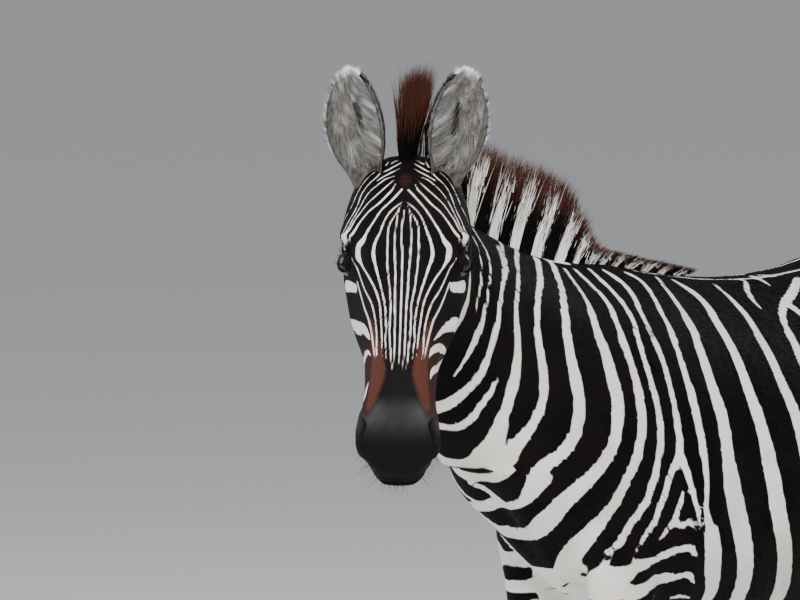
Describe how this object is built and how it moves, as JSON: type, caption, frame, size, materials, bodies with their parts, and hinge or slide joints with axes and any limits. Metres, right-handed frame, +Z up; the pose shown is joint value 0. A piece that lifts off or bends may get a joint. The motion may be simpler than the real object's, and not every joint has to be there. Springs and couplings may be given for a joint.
{
  "type": "zebra figure",
  "caption": "Life-size standing plains zebra with a striped coat, upright mane and tufted tail, its head turned to its left.",
  "frame": {"origin": "on the floor, below the middle of the whole figure", "axes": "+Z up, -Y the way the body faces, +X the animal's left"},
  "size_m": [0.566, 1.9052, 1.6232],
  "materials": {
    "coat": "short flat hair, black and white stripes",
    "ear": "soft pale hair with a dark rim",
    "mane": "stiff standing hair, banded, brown at the tips",
    "tail_hair": "long coarse black hair",
    "eye": "wet, glossy",
    "hoof": "dull dark horn"
  },
  "bodies": {
    "root": {"head": "coat", "neck": "coat", "trunk": "coat", "foreleg_upper_left": "coat", "foreleg_lower_left": "coat", "foreleg_upper_right": "coat", "foreleg_lower_right": "coat", "hindleg_upper_left": "coat", "hindleg_lower_left": "coat", "hindleg_upper_right": "coat", "hindleg_lower_right": "coat", "eye_left": "eye", "eye_right": "eye", "ear_left": "ear", "ear_right": "ear", "forehoof_left": "hoof", "forehoof_right": "hoof", "hindhoof_left": "hoof", "hindhoof_right": "hoof", "mane": "mane", "tail": "coat", "tail_tuft": "tail_hair"}
  },
  "joints": []
}
